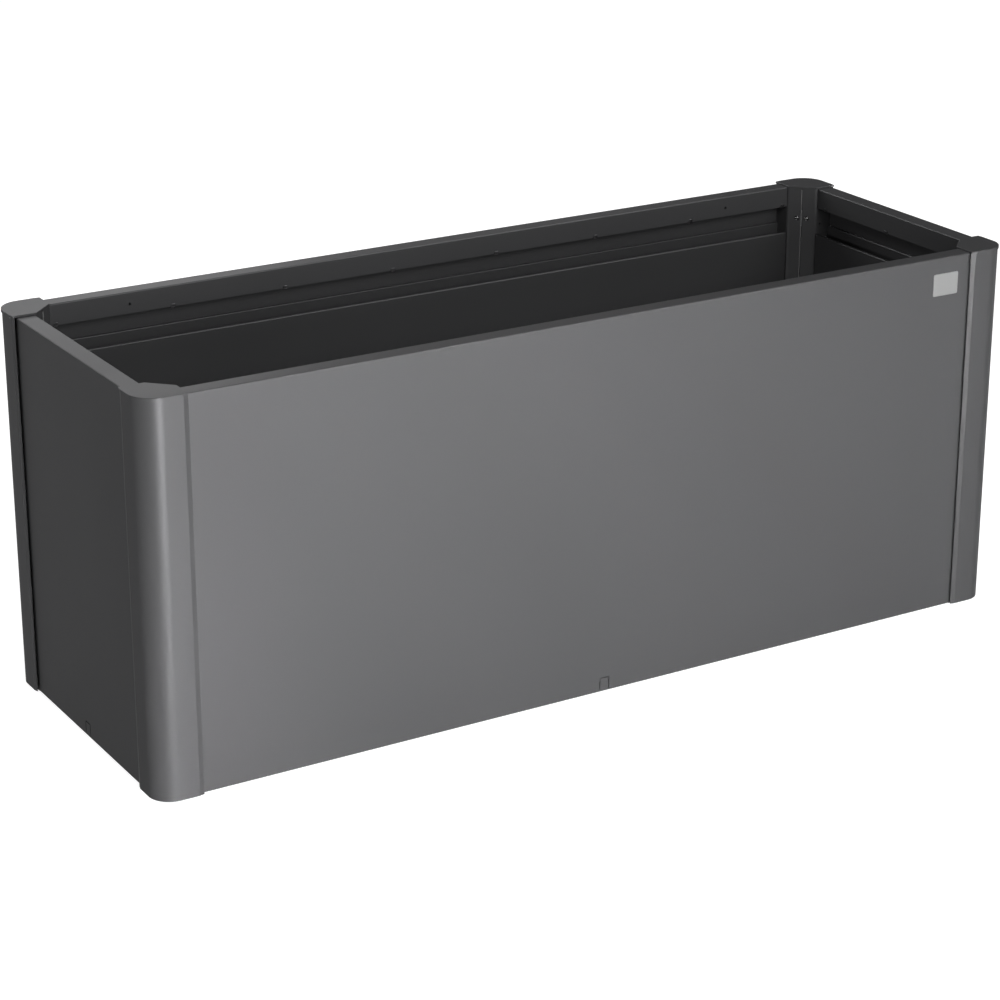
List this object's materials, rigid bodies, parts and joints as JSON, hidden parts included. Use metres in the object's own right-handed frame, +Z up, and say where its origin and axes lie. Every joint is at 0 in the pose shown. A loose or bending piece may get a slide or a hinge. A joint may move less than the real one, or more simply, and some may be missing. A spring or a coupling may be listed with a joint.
{
  "type": "raised garden bed",
  "caption": "Tall oblong raised garden bed of coated sheet steel: double-skinned walls with a broad folded rim between rounded corner posts with flat caps, open at top and bottom.",
  "frame": {"origin": "on the ground below the middle of the bed", "axes": "+X along the long walls, front towards -Y, +Z up"},
  "size_m": [1.917, 0.671, 0.768],
  "materials": {
    "coated_steel": "satin metallic dark grey powder coat on sheet steel",
    "cap_plastic": "fine matt moulded plastic in the grey of the coating",
    "foot_plastic": "black moulded plastic",
    "zinc_steel": "zinc-plated steel",
    "stainless_steel": "stainless steel",
    "spring_steel": "plain spring steel",
    "plate_aluminium": "satin silver anodised"
  },
  "bodies": {
    "root": {"front_panel": "coated_steel", "front_lining": "coated_steel", "front_rail": "coated_steel", "front_clips": "spring_steel", "right_panel": "coated_steel", "right_lining": "coated_steel", "right_rail": "coated_steel", "right_clips": "spring_steel", "back_panel": "coated_steel", "back_lining": "coated_steel", "back_rail": "coated_steel", "back_clips": "spring_steel", "left_panel": "coated_steel", "left_lining": "coated_steel", "left_rail": "coated_steel", "left_clips": "spring_steel", "front_left_post_cover": "coated_steel", "front_left_post_front_half": "coated_steel", "front_left_post_side_half": "coated_steel", "front_left_cap": "cap_plastic", "front_left_foot": "foot_plastic", "front_left_splice_plates": "zinc_steel", "front_left_screws": "stainless_steel", "front_left_nuts": "zinc_steel", "front_right_post_cover": "coated_steel", "front_right_post_side_half": "coated_steel", "front_right_post_front_half": "coated_steel", "front_right_cap": "cap_plastic", "front_right_foot": "foot_plastic", "front_right_splice_plates": "zinc_steel", "front_right_screws": "stainless_steel", "front_right_nuts": "zinc_steel", "back_right_post_cover": "coated_steel", "back_right_post_back_half": "coated_steel", "back_right_post_side_half": "coated_steel", "back_right_cap": "cap_plastic", "back_right_foot": "foot_plastic", "back_right_splice_plates": "zinc_steel", "back_right_screws": "stainless_steel", "back_right_nuts": "zinc_steel", "back_left_post_cover": "coated_steel", "back_left_post_side_half": "coated_steel", "back_left_post_back_half": "coated_steel", "back_left_cap": "cap_plastic", "back_left_foot": "foot_plastic", "back_left_splice_plates": "zinc_steel", "back_left_screws": "stainless_steel", "back_left_nuts": "zinc_steel", "front_plate": "plate_aluminium"}
  },
  "joints": []
}
